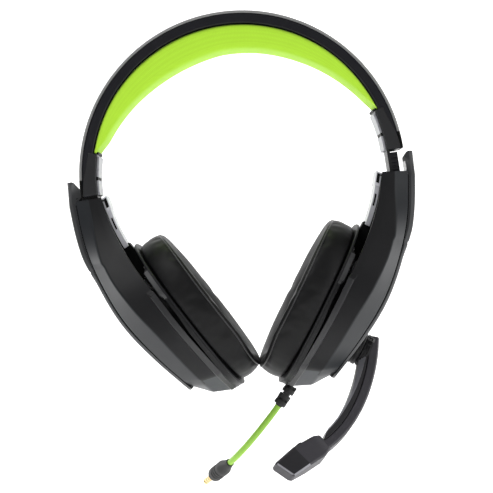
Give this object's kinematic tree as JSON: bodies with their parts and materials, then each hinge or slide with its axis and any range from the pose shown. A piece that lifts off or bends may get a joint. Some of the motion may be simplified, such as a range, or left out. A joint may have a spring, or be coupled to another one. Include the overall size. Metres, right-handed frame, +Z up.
{
  "type": "gaming headset",
  "caption": "Over-ear gaming headset with a padded headband, extending arms, swivelling padded ear cups, a swinging boom microphone and an audio cable.",
  "frame": {"origin": "centre of the headband arc, midway between the two sides and midway front to back of the headband", "axes": "+Z up through the crown, +X towards the wearer's left ear, the side with the microphone and cable, -Y forwards, the way the wearer looks"},
  "size_m": [0.1898, 0.0966, 0.2581],
  "materials": {
    "band_grey": "satin",
    "black_plastic": "fine satin texture",
    "steel": "brushed",
    "lime_fabric": "knitted fabric",
    "rubber": "matt",
    "silver": "satin silver",
    "trim_grey": "soft gloss",
    "black_leather": "smooth leatherette",
    "black_cloth": "open weave",
    "film": "thin film",
    "lime_rubber": "matt",
    "brass": "plated",
    "board": "solder mask"
  },
  "bodies": {
    "headband": {"band_outer_shell": "band_grey", "band_inner_frame": "black_plastic", "band_spring_steel": "steel", "band_pad_base": "black_plastic", "band_cushion": "lime_fabric", "band_screws": "steel", "signal_wire": "rubber", "left_end_housing": "black_plastic", "right_end_housing": "black_plastic", "left_size_plate": "silver", "left_end_clip": "silver", "left_detent_spring": "steel", "right_size_plate": "silver", "right_end_clip": "silver", "right_detent_spring": "steel"},
    "left_arm": {"left_slider": "steel", "left_carrier": "black_plastic", "left_housing": "black_plastic", "left_trim_plate": "trim_grey", "left_neck_plate": "silver", "left_arm_frame": "black_plastic", "left_cover_screws": "steel", "left_slider_screws": "steel", "left_mic_socket": "black_plastic", "strain_relief": "rubber", "cable": "lime_rubber", "plug_body": "rubber", "plug_contacts": "brass", "plug_insulators": "black_plastic", "terminal_board": "board"},
    "right_arm": {"right_slider": "steel", "right_carrier": "black_plastic", "right_housing": "black_plastic", "right_trim_plate": "trim_grey", "right_neck_plate": "silver", "right_arm_frame": "black_plastic", "right_cover_screws": "steel", "right_slider_screws": "steel"},
    "left_cup": {"left_baffle": "black_plastic", "left_back_chamber": "black_plastic", "left_trunnion_pins": "steel", "left_ear_cushion": "black_leather", "left_speaker_cloth": "black_cloth", "left_driver_frame": "black_plastic", "left_driver_magnet": "steel", "left_diaphragm": "film"},
    "right_cup": {"right_baffle": "black_plastic", "right_back_chamber": "black_plastic", "right_trunnion_pins": "steel", "right_ear_cushion": "black_leather", "right_speaker_cloth": "black_cloth", "right_driver_frame": "black_plastic", "right_driver_magnet": "steel", "right_diaphragm": "film"},
    "boom": {"boom_shell": "black_plastic", "boom_cover": "trim_grey", "boom_screw": "steel", "mic_head": "black_plastic", "mic_capsule": "steel", "mic_grille": "steel"}
  },
  "joints": [
    {"name": "left_slider_slide", "type": "slide", "parent": "headband", "child": "left_arm", "axis": [0, 0, -1], "range_m": [-0.0115, 0.0085]},
    {"name": "right_slider_slide", "type": "slide", "parent": "headband", "child": "right_arm", "axis": [0, 0, -1], "range_m": [0, 0.02]},
    {"name": "left_cup_swivel", "type": "hinge", "parent": "left_arm", "child": "left_cup", "pos_m": [0.03782, 0, -0.08052], "axis": [0.5764, 0, 0.8171], "range_deg": [-7, 1]},
    {"name": "right_cup_swivel", "type": "hinge", "parent": "right_arm", "child": "right_cup", "pos_m": [-0.04786, 0, -0.07449], "axis": [-0.4879, 0, 0.8729], "range_deg": [-1, 7]},
    {"name": "mic_boom_pivot", "type": "hinge", "parent": "left_arm", "child": "boom", "pos_m": [0.04732, 0, -0.10314], "axis": [0.8171, 0, -0.5764], "range_deg": [-85, 35]}
  ]
}
